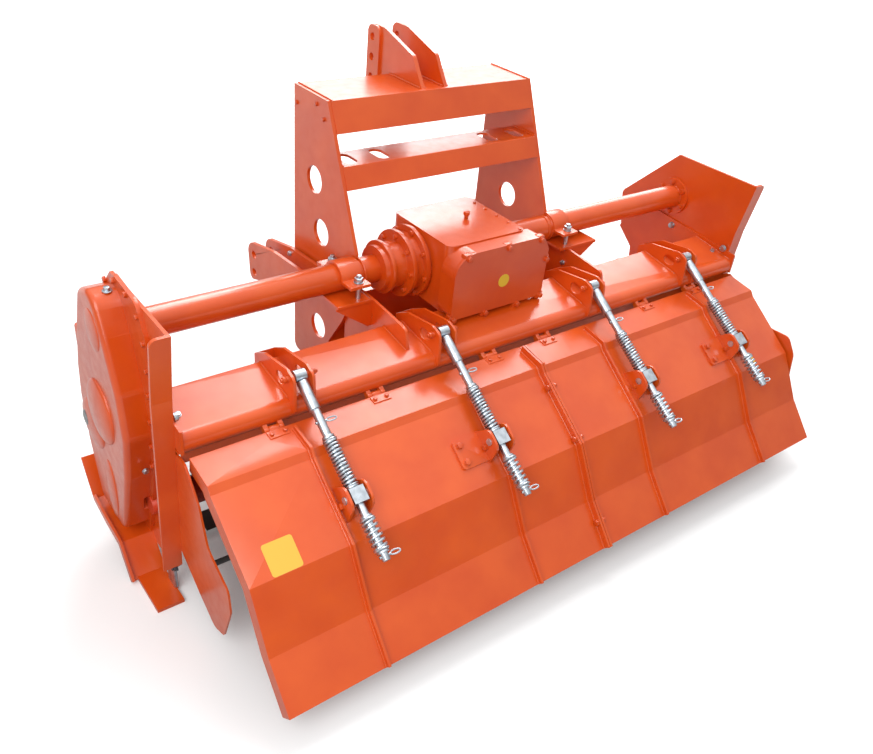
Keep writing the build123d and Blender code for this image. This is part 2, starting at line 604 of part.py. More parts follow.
# ================================================================ rod pods on the hood
POD_GAP = 26.0
POD_PLATE = 8.0
POD_FRONT_Y = -130.0
POD_SEAT_Y = HOOD_REAR_Y + 3
POD_OUTLINE = ((POD_FRONT_Y, hood_top(POD_FRONT_Y) + 0.02), (POD_FRONT_Y, 667), (-190, 699), (-318, 718),
               (-358, 704), (-364, 650), (-364, 598), (PIPE_Y - 23, PIPE_Z - 5),
               (POD_SEAT_Y, hood_top(POD_SEAT_Y) + 0.02), (HOOD_CREST_Y, HOOD_CREST_Z + 0.02))
pods = []
for x, foot in RODS:
    with BuildPart() as pod:
        for wall in (-POD_GAP - POD_PLATE, POD_GAP):
            with BuildSketch(side_view(x + wall)):
                add(outline(POD_OUTLINE, (2, 20), (3, 24), (4, 20), (5, 20), (6, 8)))
                with Locations((-284, 671)):
                    Ellipse(26, 20, mode=Mode.SUBTRACT)
                with Locations((PIPE_Y, PIPE_Z)):
                    Circle(PIPE_R + 0.02, mode=Mode.SUBTRACT)
            extrude(amount=POD_PLATE)
        with BuildSketch(side_view(x - POD_GAP)):
            add(outline(((POD_FRONT_Y, hood_top(POD_FRONT_Y) + 0.02), (POD_FRONT_Y, 667),
                         (POD_FRONT_Y - POD_PLATE, 671),
                         (POD_FRONT_Y - POD_PLATE, hood_top(POD_FRONT_Y - POD_PLATE) + 0.02))))
        extrude(amount=2 * POD_GAP)
        with BuildSketch(side_view(x - POD_GAP - POD_PLATE - 6)):
            with Locations((ROD_EYE_Y, ROD_EYE_Z)):
                Circle(8)
        extrude(amount=2 * (POD_GAP + POD_PLATE + 6))
    pods.append(pod.part)
export_step(Compound(children=pods, label="rod_pods"), "parts/rod_pods.step")

# ================================================================ skids and deflectors
#             y     z     underside, from the rear end up under the drive case
SKID_LINE = ((SKID_REAR_Y, 0), (-165, 0), (-88, 92), (20, 98), (116, 114), (195, 230))
BAR_LINE = ((-268, SKID_SOLE - 2), (-268, 222), (-222, 222), (-222, SKID_SOLE - 2))
WEB_LINE = ((-92, 98), (20, 105), (113, 121), (189, 232), (150, 232), (118, 150), (110, 129), (-96, 129))
for side, name, out in ((-1, "skid_left", GUARD_OUT_LEFT), (1, "skid_right", GUARD_OUT_RIGHT)):
    outside = INNER_HALF + SIDE_PLATE
    with BuildPart() as skid:
        with BuildSketch(side_view(outside + SKID_IN if side > 0 else -outside - SKID_OUT)):
            add(sheet(SKID_LINE[:2], SKID_SOLE))
        extrude(amount=SKID_OUT - SKID_IN)
        with BuildSketch(side_view(outside if side > 0 else -outside - out)):
            add(sheet(SKID_LINE[1:], GUARD_SHEET))
        extrude(amount=out)
        with BuildSketch(side_view(outside + out - GUARD_SHEET if side > 0 else -outside - out)):
            add(sheet(SKID_LINE[1:-1], 24))
        extrude(amount=GUARD_SHEET)
        with BuildSketch(side_view(outside if side > 0 else -outside - 10)):
            add(outline(BAR_LINE, (1, 16), (2, 16)))
        extrude(amount=10)
        with BuildSketch(side_view(outside if side > 0 else -outside - GUARD_SHEET)):
            add(outline(WEB_LINE))
        extrude(amount=GUARD_SHEET)
    save(skid, name)

DEFLECTOR = ((-300, 550), (-345, 557), (-372, 553), (-445, 466), (-486, 347), (-600, 292),
             (-610, 220), (-560, 84), (-500, 60), (-408, 110), (-293, 182), (-270, 400))
DEFLECTOR_PIVOT = (-330.0, 540.0)
for side, name, tilt in ((-1, "deflector_left", 0), (1, "deflector_right", -28)):
    x = -INNER_HALF if side < 0 else INNER_HALF - 6
    pivot_y, pivot_z = DEFLECTOR_PIVOT
    turned = []
    for y, z in DEFLECTOR:
        dy, dz = y - pivot_y, z - pivot_z
        c, s = cos(radians(tilt)), sin(radians(tilt))
        turned.append((pivot_y + dy * c - dz * s, pivot_z + dy * s + dz * c))
    with BuildPart() as deflector:
        with BuildSketch(side_view(x)):
            add(outline(turned, (4, 40), (5, 30), (6, 50), (7, 24), (8, 40)))
        extrude(amount=6)
    save(deflector, name)

# ================================================================ tailgate
SEAM_HALF = SEAM_GAP / 2 + RIB
LEAF_LINE = ((-376, 572.0), (-402, 567.83))     # flat hinge leaf on the tailgate's top face


RIB_SHARE = RIB_START / hypot(GATE_LINE[1][0] - GATE_LINE[0][0], GATE_LINE[1][1] - GATE_LINE[0][1])
RIB_TOP = (GATE_LINE[0][0] + RIB_SHARE * (GATE_LINE[1][0] - GATE_LINE[0][0]),
           GATE_LINE[0][1] + RIB_SHARE * (GATE_LINE[1][1] - GATE_LINE[0][1]))


def rib_band(depth, first=0):
    """Strip that stands depth out of the tailgate's outer face."""
    return sheet((RIB_TOP, *GATE_LINE[1:])[first:], -depth)


for side, name in ((-1, "tailgate_left"), (1, "tailgate_right")):
    start = -GATE_HALF if side < 0 else SEAM_GAP / 2
    with BuildPart() as gate:
        with BuildSketch(side_view(start)):
            add(sheet(GATE_LINE, GATE_SHEET))
        extrude(amount=GATE_HALF - SEAM_GAP / 2)
        for spot, first in RIBS:
            if spot * side > 0:
                with BuildSketch(side_view(spot - RIB / 2)):
                    add(rib_band(RIB_HEIGHT, first))
                extrude(amount=RIB)
        with BuildSketch(side_view(-SEAM_HALF if side < 0 else SEAM_GAP / 2)):
            add(rib_band(SEAM_RIB))
        extrude(amount=RIB)
        with BuildSketch(side_view(-GATE_HALF if side < 0 else GATE_HALF - 6)):
            add(sheet(GATE_LINE[1:], END_FLANGE))
        extrude(amount=6)
        for spot in HINGE_SPOTS:
            if spot * side > 0:
                with BuildSketch(side_view(spot - HINGE_LENGTH / 4)):
                    add(outline(((HINGE_Y, HINGE_Z - 6), (HINGE_Y, HINGE_Z + 6), (-374, 572), (-374, 564))))
                    with Locations((HINGE_Y, HINGE_Z)):
                        Circle(HINGE_BARREL_R)
                        Circle(HINGE_PIN_R + PIN_CLEAR, mode=Mode.SUBTRACT)
                extrude(amount=HINGE_LENGTH / 2)
                with BuildSketch(side_view(spot - HINGE_LENGTH / 2)):
                    add(sheet(LEAF_LINE, -4))
                extrude(amount=HINGE_LENGTH)
    save(gate, name)

hinges = []
for spot in HINGE_SPOTS:
    with BuildPart() as hinge:
        with BuildSketch(side_view(spot - HINGE_LENGTH / 2)):
            with Locations((HINGE_Y, HINGE_Z)):
                Circle(HINGE_PIN_R)
        extrude(amount=HINGE_LENGTH)
        for start in (spot - HINGE_LENGTH / 2, spot + HINGE_LENGTH / 4 + 1):
            with BuildSketch(side_view(start)):
                with Locations((HINGE_Y, HINGE_Z)):
                    Circle(HINGE_BARREL_R)
                add(outline(((HINGE_Y - 5.6, HINGE_Z + 7), (PIPE_Y - 5.6, PIPE_Z + 7),
                             (PIPE_Y + 5.6, PIPE_Z - 7), (HINGE_Y + 5.6, HINGE_Z - 7))))
                with Locations((PIPE_Y, PIPE_Z)):
                    Circle(PIPE_R + 0.02, mode=Mode.SUBTRACT)
            extrude(amount=HINGE_LENGTH / 4 - 1)
    hinges.append(hinge.part)
export_step(Compound(children=hinges, label="gate_hinges"), "parts/gate_hinges.step")

# ================================================================ spring rods
ROD_DIR = (-cos(radians(ROD_SLOPE)), -sin(radians(ROD_SLOPE)))
BLOCK_Y = ROD_EYE_Y + BLOCK_AT * ROD_DIR[0]
BLOCK_Z = ROD_EYE_Z + BLOCK_AT * ROD_DIR[1]


def rod_view(x):
    """Plane through a rod's axis: local x runs down the rod from its eye, local y below it."""
    return Plane(origin=(MID_X + x, AXIS_Y + ROD_EYE_Y, ROD_EYE_Z),
                 x_dir=(0, ROD_DIR[0], ROD_DIR[1]), z_dir=(1, 0, 0))


def coil_outline(start, end, turns):
    """Outer line of a coil, one bump for each turn."""
    pitch = (end - start) / turns
    points = [(start, SPRING_R)]
    for turn in range(turns):
        low = start + turn * pitch
        points += [(low + 0.6 * pitch, SPRING_R), (low + 0.8 * pitch, SPRING_R - 4)]
        if turn < turns - 1:
            points.append((low + pitch, SPRING_R))
    points.append((end, SPRING_R - 4))
    return points


ROD_SECTION = [
    (8, 0), (8, SLEEVE_R), (SLEEVE_END, SLEEVE_R), (SLEEVE_END, ROD_R + 1.5), (190, ROD_R + 1.5), (190, 18),
    (SPRING_START - 2, 18), (SPRING_START - 2, ROD_R),
    (LOWER_SPRING_START, ROD_R), *coil_outline(LOWER_SPRING_START, LOWER_SPRING_END, 6),
    (LOWER_SPRING_END + 2, 17), (LOWER_SPRING_END + 8, 17), (LOWER_SPRING_END + 8, ROD_R),
    (ROD_LENGTH - 4, ROD_R), (ROD_LENGTH, ROD_R - 4), (ROD_LENGTH, 0),
]
UPPER_SPRING_END = BLOCK_AT - BLOCK / 2 - 2
for number, (x, foot) in enumerate(RODS, start=1):
    axis = Axis(origin=rod_view(x).origin, direction=rod_view(x).x_dir)
    with BuildPart() as rod:
        with BuildSketch(rod_view(x)):
            add(outline(ROD_SECTION))
        revolve(axis=axis)
        with BuildSketch(side_view(x - 17)):
            with Locations((ROD_EYE_Y, ROD_EYE_Z)):
                Circle(18)
        extrude(amount=34)
        with BuildSketch(side_view(x - 17)):
            with Locations((ROD_EYE_Y, ROD_EYE_Z)):
                Circle(8 + PIN_CLEAR)
        extrude(amount=34, mode=Mode.SUBTRACT)
    save(rod, f"spring_rod_{number}")

    with BuildPart() as coil:
        with BuildSketch(rod_view(x)):
            add(outline([(SPRING_START, ROD_R + 1), *coil_outline(SPRING_START, UPPER_SPRING_END, 7),
                         (UPPER_SPRING_END, ROD_R + 1)]))
        revolve(axis=axis)
    save(coil, f"upper_spring_{number}")

    with BuildPart() as block:
        with BuildSketch(rod_view(x)):
            with Locations((BLOCK_AT, 0)):
                Rectangle(BLOCK, BLOCK)
        extrude(amount=BLOCK / 2, both=True)
        for start in (x - BLOCK / 2 - TRUNNION, x + BLOCK / 2):
            with BuildSketch(side_view(start)):
                with Locations((BLOCK_Y, BLOCK_Z)):
                    Circle(TRUNNION_R)
            extrude(amount=TRUNNION)
        with BuildSketch(Plane(origin=rod_view(x).origin, x_dir=(1, 0, 0), z_dir=rod_view(x).x_dir)):
            Circle(BLOCK_BORE_R)
        extrude(amount=ROD_LENGTH, mode=Mode.SUBTRACT)
    save(block, f"trunnion_block_{number}")

# brackets that carry the blocks, bolted to the tailgate's middle face
TOP_CORNER, LOW_CORNER = GATE_LINE[2], GATE_LINE[3]
FACE_LENGTH = hypot(LOW_CORNER[0] - TOP_CORNER[0], LOW_CORNER[1] - TOP_CORNER[1])
FACE_DIR = ((LOW_CORNER[0] - TOP_CORNER[0]) / FACE_LENGTH, (LOW_CORNER[1] - TOP_CORNER[1]) / FACE_LENGTH)
along = (BLOCK_Y - TOP_CORNER[0]) * FACE_DIR[0] + (BLOCK_Z - TOP_CORNER[1]) * FACE_DIR[1]
height = (BLOCK_Y - TOP_CORNER[0]) * FACE_DIR[1] - (BLOCK_Z - TOP_CORNER[1]) * FACE_DIR[0]


def face_view(x):
    """Plane across the machine on the tailgate's middle face: local x down it, local y outwards."""
    return Plane(origin=(MID_X + x, AXIS_Y + TOP_CORNER[0], TOP_CORNER[1]),
                 x_dir=(0, FACE_DIR[0], FACE_DIR[1]), z_dir=(-1, 0, 0))


def face_top(x):
    """Plane lying on the tailgate's middle face: local x across, local y up the face."""
    return Plane(origin=(MID_X + x, AXIS_Y + TOP_CORNER[0], TOP_CORNER[1]),
                 x_dir=(1, 0, 0), z_dir=(0, FACE_DIR[1], -FACE_DIR[0]))


arms = []
for x, foot in RODS:
    wall = BLOCK / 2 + BRACKET_GAP
    with BuildPart() as arm:
        for start in (x - wall, x + wall + BRACKET):
            with BuildSketch(face_view(start)):
                add(outline(((along - BRACKET_HALF, 0), (along + BRACKET_HALF, 0),
                             (along + 32, height + 26), (along - 32, height + 26)), (2, 28), (3, 28)))
                with Locations((along, height)):
                    Circle(TRUNNION_R + PIN_CLEAR, mode=Mode.SUBTRACT)
            extrude(amount=BRACKET)
        if foot < 0:
            with BuildSketch(face_top(x - wall - FOOT_WIDTH / 2)):
                with Locations((0, -along)):
                    RectangleRounded(FOOT_WIDTH, FOOT_LENGTH, 12)
            extrude(amount=FOOT)
        else:
            with BuildSketch(face_top(x)):
                with Locations((0, -along)):
                    Rectangle(2 * wall, FOOT_LENGTH)
            extrude(amount=FOOT)
    arms.append(arm.part)
export_step(Compound(children=arms, label="rod_brackets"), "parts/rod_brackets.step")
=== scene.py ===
"""Looks of a tractor-mounted rotary tiller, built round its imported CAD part."""
import json
import math

import bpy
from mathutils import Matrix, Vector


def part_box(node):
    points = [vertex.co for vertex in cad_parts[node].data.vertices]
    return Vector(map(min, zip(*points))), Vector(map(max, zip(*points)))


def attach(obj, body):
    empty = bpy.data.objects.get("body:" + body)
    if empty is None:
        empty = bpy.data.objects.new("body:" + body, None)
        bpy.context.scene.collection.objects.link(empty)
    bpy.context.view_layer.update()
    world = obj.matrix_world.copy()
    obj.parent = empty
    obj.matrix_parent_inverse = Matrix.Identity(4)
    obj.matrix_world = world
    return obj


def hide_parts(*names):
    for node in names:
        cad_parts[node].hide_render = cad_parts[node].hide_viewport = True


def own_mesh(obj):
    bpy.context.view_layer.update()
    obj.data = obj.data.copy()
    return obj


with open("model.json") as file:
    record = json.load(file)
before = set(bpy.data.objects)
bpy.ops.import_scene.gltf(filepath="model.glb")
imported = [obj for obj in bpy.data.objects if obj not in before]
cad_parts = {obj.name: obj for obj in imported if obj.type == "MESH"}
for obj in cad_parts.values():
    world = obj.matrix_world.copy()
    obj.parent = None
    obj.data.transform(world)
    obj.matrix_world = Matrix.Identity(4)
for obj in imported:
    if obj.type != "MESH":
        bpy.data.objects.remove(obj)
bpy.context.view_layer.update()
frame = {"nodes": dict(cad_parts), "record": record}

NODES = frame["nodes"]
JOINTS = {joint["name"]: joint for joint in frame["record"]["behaviour"]["joints"]}


# ---------------------------------------------------------------- places taken from the frame
def middle(node):
    """Centre of a node's box."""
    low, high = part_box(node)
    return (Vector(low) + Vector(high)) / 2


ROD_EYES = [Vector(JOINTS[f"rod_{n}_eye"]["pos_m"]) for n in (1, 2, 3, 4)]
CENTRE_X = (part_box("side_plate_left")[1][0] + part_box("side_plate_right")[0][0]) / 2
ROD_X = [(eye.x - CENTRE_X) * 1000 for eye in ROD_EYES]
SHAFT = middle("cross_tube_left")

SIDES = (-1, 1)
LEFT, RIGHT = (-1, 0, 0), (1, 0, 0)
REAR, AHEAD = (0, -1, 0), (0, 1, 0)
BELOW, UP = (0, 0, -1), (0, 0, 1)


def place(x, y, z):
    """Point counted from the machine's centre plane, the cross shaft and the ground, in metres."""
    return Vector((CENTRE_X + x, SHAFT.y + y, z))


def at(x, y, z):
    """The same in millimetres."""
    return place(x / 1000, y / 1000, z / 1000)


# ---------------------------------------------------------------- camera
AZIMUTH = 0.70841
ELEVATION = 0.58413
ROLL = -0.11374
STATION = (-1.7971, -2.0723, 2.0444)
SENSOR_WIDTH = 36
FOCAL_SHARE = 867.12 / 873  # focal length over the picture's width

camera_data = bpy.data.cameras.new("camera")
camera_data.sensor_width = SENSOR_WIDTH
camera_data.lens = SENSOR_WIDTH * FOCAL_SHARE
camera = bpy.data.objects.new("camera", camera_data)
bpy.context.collection.objects.link(camera)
camera.matrix_world = (
    Matrix.Translation(place(*STATION))
    @ Matrix.Rotation(-AZIMUTH, 4, "Z")
    @ Matrix.Rotation(math.pi / 2 - ELEVATION, 4, "X")
    @ Matrix.Rotation(-ROLL, 4, "Z")
)
bpy.context.scene.camera = camera


# ---------------------------------------------------------------- material tools
# socket numbers of a Mix node for colours: its two colours and its result
FIRST, SECOND, MIXED = 6, 7, 2


def colour(code):
    """sRGB hex code as a linear colour."""
    parts = []
    for start in (0, 2, 4):
        value = int(code[start:start + 2], 16) / 255
        parts.append(value / 12.92 if value <= 0.04045 else ((value + 0.055) / 1.055) ** 2.4)
    return (*parts, 1.0)


def limits(low, high, start, end):
    """Socket values of a Map Range node that turns low to high into start to end."""
    return {"From Min": low, "From Max": high, "To Min": start, "To Max": end}


def link(tree, node, links):
    """Links outputs of other nodes to sockets of a node."""
    for source, output, socket in links:
        tree.links.new(source.outputs[output], node.inputs[socket])


def add_node(tree, kind, inputs=None, links=(), **settings):
    """Adds a node with its settings, socket values and links from other nodes."""
    node = tree.nodes.new(kind)
    for name, value in settings.items():
        setattr(node, name, value)
    for socket, value in (inputs or {}).items():
        node.inputs[socket].default_value = value
    link(tree, node, links)
    return node


def material(name, base, roughness, metallic=0.0):
    """Node material, its surface shader and the node of its object coordinates."""
    made = bpy.data.materials.new(name)
    made.use_nodes = True
    tree = made.node_tree
    tree.nodes.clear()
    shader = add_node(tree, "ShaderNodeBsdfPrincipled",
                      {"Base Color": colour(base), "Roughness": roughness, "Metallic": metallic})
    add_node(tree, "ShaderNodeOutputMaterial", links=[(shader, "BSDF", "Surface")])
    where = add_node(tree, "ShaderNodeTexCoord")
    return made, tree, shader, where


# ---------------------------------------------------------------- materials
# Each noise's scale is 1000 over the size of its cells in millimetres.

# Sprayed alkyd enamel on folded sheet: a glossy skin with fine orange peel, so highlights
# are bright but soft, and the coat is a little thinner and duller in places.
def enamel(name, base, shade, cast_depth=0.0):
    made, tree, shader, where = material(name, base, 0.34)
    coat = add_node(tree, "ShaderNodeTexNoise", {"Scale": 1000 / 140, "Detail": 3.0},
                    [(where, "Object", "Vector")])
    share = add_node(tree, "ShaderNodeMapRange", limits(0.35, 0.65, 0.0, 1.0), [(coat, "Fac", "Value")])
    paint = add_node(tree, "ShaderNodeMix", {FIRST: colour(base), SECOND: colour(shade)},
                     [(share, "Result", 0)], data_type="RGBA")
    dull = add_node(tree, "ShaderNodeTexNoise", {"Scale": 1000 / 35, "Detail": 3.0},
                    [(where, "Object", "Vector")])
    rough = add_node(tree, "ShaderNodeMapRange", limits(0.3, 0.7, 0.28, 0.42), [(dull, "Fac", "Value")])
    peel = add_node(tree, "ShaderNodeTexNoise", {"Scale": 1000 / 2.2, "Detail": 1.0},
                    [(where, "Object", "Vector")])
    skin = add_node(tree, "ShaderNodeBump", {"Strength": 0.35, "Distance": 0.0002},
                    [(peel, "Fac", "Height")])
    if cast_depth:
        # sand-cast wall under the paint, grains about 4 mm across
        sand = add_node(tree, "ShaderNodeTexNoise", {"Scale": 1000 / 4, "Detail": 4.0, "Roughness": 0.6},
                        [(where, "Object", "Vector")])
        skin = add_node(tree, "ShaderNodeBump", {"Strength": 0.5, "Distance": cast_depth},
                        [(sand, "Fac", "Height"), (skin, "Normal", "Normal")])
    link(tree, shader, [(paint, MIXED, "Base Color"), (rough, "Result", "Roughness"),
                        (skin, "Normal", "Normal")])
    shader.inputs["Specular IOR Level"].default_value = 0.35
    shader.inputs["Coat Weight"].default_value = 0.7
    shader.inputs["Coat Roughness"].default_value = 0.2
    return made


SHEET_PAINT = enamel("red_enamel_on_sheet", "d85412", "cf4a0c")
CAST_PAINT = enamel("red_enamel_on_casting", "d04e0e", "c6440a", 0.0005)


# Zinc plate on steel: bright grey with a faint blue cast and a fine satin grain.
def zinc_plate():
    made, tree, shader, where = material("zinc_plated_steel", "bcc5cd", 0.34, 1.0)
    clouds = add_node(tree, "ShaderNodeTexNoise", {"Scale": 1000 / 18, "Detail": 3.0},
                      [(where, "Object", "Vector")])
    share = add_node(tree, "ShaderNodeMapRange", limits(0.3, 0.7, 0.0, 1.0), [(clouds, "Fac", "Value")])
    plate = add_node(tree, "ShaderNodeMix", {FIRST: colour("c8d0d8"), SECOND: colour("a8b0b7")},
                     [(share, "Result", 0)], data_type="RGBA")
    satin = add_node(tree, "ShaderNodeTexNoise", {"Scale": 1000 / 3, "Detail": 2.0},
                     [(where, "Object", "Vector")])
    rough = add_node(tree, "ShaderNodeMapRange", limits(0.3, 0.7, 0.26, 0.44), [(satin, "Fac", "Value")])
    fine = add_node(tree, "ShaderNodeTexNoise", {"Scale": 1000 / 1.2, "Detail": 2.0},
                    [(where, "Object", "Vector")])
    skin = add_node(tree, "ShaderNodeBump", {"Strength": 0.3, "Distance": 0.0001},
                    [(fine, "Fac", "Height")])
    link(tree, shader, [(plate, MIXED, "Base Color"), (rough, "Result", "Roughness"),
                        (skin, "Normal", "Normal")])
    return made


ZINC = zinc_plate()


# Machined or forged steel left bare and oiled: grey, with turning marks and stains.
def bare_steel(name, light, dark, roughness):
    made, tree, shader, where = material(name, light, roughness, 1.0)
    stains = add_node(tree, "ShaderNodeTexNoise", {"Scale": 1000 / 12, "Detail": 4.0, "Roughness": 0.6},
                      [(where, "Object", "Vector")])
    share = add_node(tree, "ShaderNodeMapRange", limits(0.35, 0.65, 0.0, 1.0), [(stains, "Fac", "Value")])
    steel = add_node(tree, "ShaderNodeMix", {FIRST: colour(light), SECOND: colour(dark)},
                     [(share, "Result", 0)], data_type="RGBA")
    oil = add_node(tree, "ShaderNodeTexNoise", {"Scale": 1000 / 5, "Detail": 3.0},
                   [(where, "Object", "Vector")])
    rough = add_node(tree, "ShaderNodeMapRange", limits(0.3, 0.7, roughness - 0.1, roughness + 0.12),
                     [(oil, "Fac", "Value")])
    marks = add_node(tree, "ShaderNodeTexNoise", {"Scale": 1000 / 1.5, "Detail": 2.0},
                     [(where, "Object", "Vector")])
    skin = add_node(tree, "ShaderNodeBump", {"Strength": 0.4, "Distance": 0.00015},
                    [(marks, "Fac", "Height")])
    link(tree, shader, [(steel, MIXED, "Base Color"), (rough, "Result", "Roughness"),
                        (skin, "Normal", "Normal")])
    return made


DARK_STEEL = bare_steel("oiled_dark_steel", "6e6f74", "4b4b50", 0.42)
BRIGHT_STEEL = bare_steel("turned_bright_steel", "a3a3a2", "87878a", 0.34)


# The rotor is dipped in the machine's paint, and its forged blades are bare where soil polishes them.
def rotor_finish():
    made, tree, shader, where = material("painted_rotor_worn_blades", "c8401e", 0.42)
    centre = middle("rotor")
    moved = add_node(tree, "ShaderNodeMapping", {"Location": (-centre.x, -centre.y, -centre.z)},
                     [(where, "Object", "Vector")], vector_type="POINT")
    flat = add_node(tree, "ShaderNodeVectorMath", {1: (0.0, 1.0, 1.0)}, [(moved, "Vector", 0)],
                    operation="MULTIPLY")
    radius = add_node(tree, "ShaderNodeVectorMath", links=[(flat, "Vector", 0)], operation="LENGTH")
    ragged = add_node(tree, "ShaderNodeTexNoise", {"Scale": 1000 / 25, "Detail": 4.0},
                      [(where, "Object", "Vector")])
    total = add_node(tree, "ShaderNodeMath", {1: 0.06}, [(ragged, "Fac", 0), (radius, "Value", 2)],
                     operation="MULTIPLY_ADD")
    worn = add_node(tree, "ShaderNodeMapRange", limits(0.135, 0.15, 0.0, 1.0), [(total, "Value", "Value")])
    paint = add_node(tree, "ShaderNodeMix", {FIRST: colour("c8401e"), SECOND: colour("55524f")},
                     [(worn, "Result", 0)], data_type="RGBA")
    forged = add_node(tree, "ShaderNodeTexNoise", {"Scale": 1000 / 6, "Detail": 4.0, "Roughness": 0.6},
                      [(where, "Object", "Vector")])
    skin = add_node(tree, "ShaderNodeBump", {"Strength": 0.4, "Distance": 0.0003},
                    [(forged, "Fac", "Height")])
    link(tree, shader, [(paint, MIXED, "Base Color"), (worn, "Result", "Metallic"),
                        (skin, "Normal", "Normal")])
    return made


ROTOR = rotor_finish()


# Printed vinyl left blank: an even satin film with hardly any texture.
def film(name, base):
    made, tree, shader, where = material(name, base, 0.4)
    handled = add_node(tree, "ShaderNodeTexNoise", {"Scale": 1000 / 20, "Detail": 2.0},
                       [(where, "Object", "Vector")])
    rough = add_node(tree, "ShaderNodeMapRange", limits(0.3, 0.7, 0.34, 0.46),
                     [(handled, "Fac", "Value")])
    fine = add_node(tree, "ShaderNodeTexNoise", {"Scale": 1000 / 3, "Detail": 2.0},
                    [(where, "Object", "Vector")])
    skin = add_node(tree, "ShaderNodeBump", {"Strength": 0.2, "Distance": 0.00005},
                    [(fine, "Fac", "Height")])
    link(tree, shader, [(rough, "Result", "Roughness"), (skin, "Normal", "Normal")])
    return made


YELLOW_FILM = film("blank_yellow_vinyl", "dcb040")
GOLD_FILM = film("blank_gold_vinyl", "d8b62e")

for name, node in NODES.items():
    look = SHEET_PAINT
    if name in ("gearbox", "gearbox_cover", "drive_case", "rotor_bearing"):
        look = CAST_PAINT
    if name.startswith(("spring_rod", "upper_spring", "trunnion")):
        look = ZINC
    if name == "rotor":
        look = ROTOR
    if name in ("pto_shaft", "drive_cap"):
        look = BRIGHT_STEEL
    for slot in node.material_slots:
        slot.material = look


# ---------------------------------------------------------------- modelling tools
ROUND = 32  # sides of a round piece
HEXAGON = 6


def clear():
    """Leaves edit mode and selects nothing."""
    if bpy.context.object and bpy.context.object.mode != "OBJECT":
        bpy.ops.object.mode_set(mode="OBJECT")
    bpy.ops.object.select_all(action="DESELECT")


def only(obj):
    """Selects one object alone."""
    clear()
    obj.select_set(True)
    bpy.context.view_layer.objects.active = obj
    return obj


def settle(obj):
    """Puts the object's place, turn and size into its mesh."""
    only(obj)
    bpy.ops.object.transform_apply(location=True, rotation=True, scale=True)
    return obj


def apply_modifier(obj, kind, **settings):
    """Gives the object one modifier and applies it."""
    only(obj)
    modifier = obj.modifiers.new(kind.lower(), kind)
    for name, value in settings.items():
        setattr(modifier, name, value)
    bpy.ops.object.modifier_apply(modifier=modifier.name)
    return obj


def disc(radius, start, end, sides=ROUND, bevel=0.0):
    """Cylinder along Z from start to end with broken edges, in millimetres."""
    clear()
    bpy.ops.mesh.primitive_cylinder_add(vertices=sides, radius=radius / 1000, depth=(end - start) / 1000,
                                        location=(0, 0, (start + end) / 2000))
    made = settle(bpy.context.object)
    if bevel:
        apply_modifier(made, "BEVEL", width=bevel / 1000, segments=2, limit_method="ANGLE",
                       angle_limit=math.radians(50))
    return made


def tube(outer, inner, start, end):
    """Open cylinder along Z given a wall, in millimetres."""
    clear()
    bpy.ops.mesh.primitive_cylinder_add(vertices=ROUND, radius=outer / 1000, depth=(end - start) / 1000,
                                        end_fill_type="NOTHING", location=(0, 0, (start + end) / 2000))
    made = settle(bpy.context.object)
    return apply_modifier(made, "SOLIDIFY", thickness=(outer - inner) / 1000, offset=-1.0)


def block(size, centre=(0, 0, 0), bevel=2.0):
    """Box with rounded edges, in millimetres."""
    clear()
    bpy.ops.mesh.primitive_cube_add(size=1, location=Vector(centre) / 1000)
    made = bpy.context.object
    made.scale = Vector(size) / 1000
    settle(made)
    return apply_modifier(made, "BEVEL", width=bevel / 1000, segments=2, limit_method="ANGLE")


def joined(pieces, name):
    """Joins pieces into the first one."""
    clear()
    for piece in pieces:
        piece.select_set(True)
    bpy.context.view_layer.objects.active = pieces[0]
    bpy.ops.object.join()
    made = bpy.context.object
    made.name = name
    return made


def copy_of(source, matrix, name="copy"):
    """Copy with its own mesh, moved by the matrix."""
    made = bpy.data.objects.new(name, source.data.copy())
    bpy.context.collection.objects.link(made)
    made.data.transform(matrix)
    return made


def remove(obj):
    """Deletes a pattern after its last copy."""
    bpy.data.objects.remove(obj, do_unlink=True)


def toward(position, direction, size=1.0):
    """Matrix that stands a piece made along Z on a point, pointing along a direction."""
    turn = Vector(UP).rotation_difference(Vector(direction)).to_matrix().to_4x4()
    return Matrix.Translation(position) @ turn @ Matrix.Diagonal((size, size, size, 1))


def finish(obj, look, body, smooth=35):
    """Material, shading and body of a new piece."""
    only(obj)
    obj.data.materials.clear()
    obj.data.materials.append(look)
    bpy.ops.object.shade_smooth_by_angle(angle=math.radians(smooth))
    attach(obj, body)
    return obj


def wire(points, radius, name, sides=4, cyclic=False, radii=None):
    """Round bar along points in metres, its radius in millimetres, as a closed mesh."""
    curve = bpy.data.curves.new(name, "CURVE")
    curve.dimensions = "3D"
    curve.bevel_depth = radius / 1000
    curve.bevel_resolution = sides
    curve.use_fill_caps = not cyclic
    spline = curve.splines.new("POLY")
    spline.points.add(len(points) - 1)
    for index, point in enumerate(points):
        spline.points[index].co = (*point, 1)
        if radii:
            spline.points[index].radius = radii[index]
    spline.use_cyclic_u = cyclic
    obj = bpy.data.objects.new(name, curve)
    bpy.context.collection.objects.link(obj)
    only(obj)
    bpy.ops.object.convert(target="MESH")
    return bpy.context.object


# ---------------------------------------------------------------- fasteners
ACROSS_FLATS = 19
WASHER_HEIGHT = 2.5
HEAD_HEIGHT = 7.5
NUT_HEIGHT = 10


def washer():
    """Washer under a head or a nut, on the origin."""
    return disc(12, 0, WASHER_HEIGHT, 24, 0.4)


def hexagon(height, bevel):
    """Head or nut on top of its washer."""
    corner = ACROSS_FLATS / 2 / math.cos(math.radians(30))
    return disc(corner, WASHER_HEIGHT, WASHER_HEIGHT + height, HEXAGON, bevel)


BOLT = joined([hexagon(HEAD_HEIGHT, 0.8), washer()], "bolt_pattern")
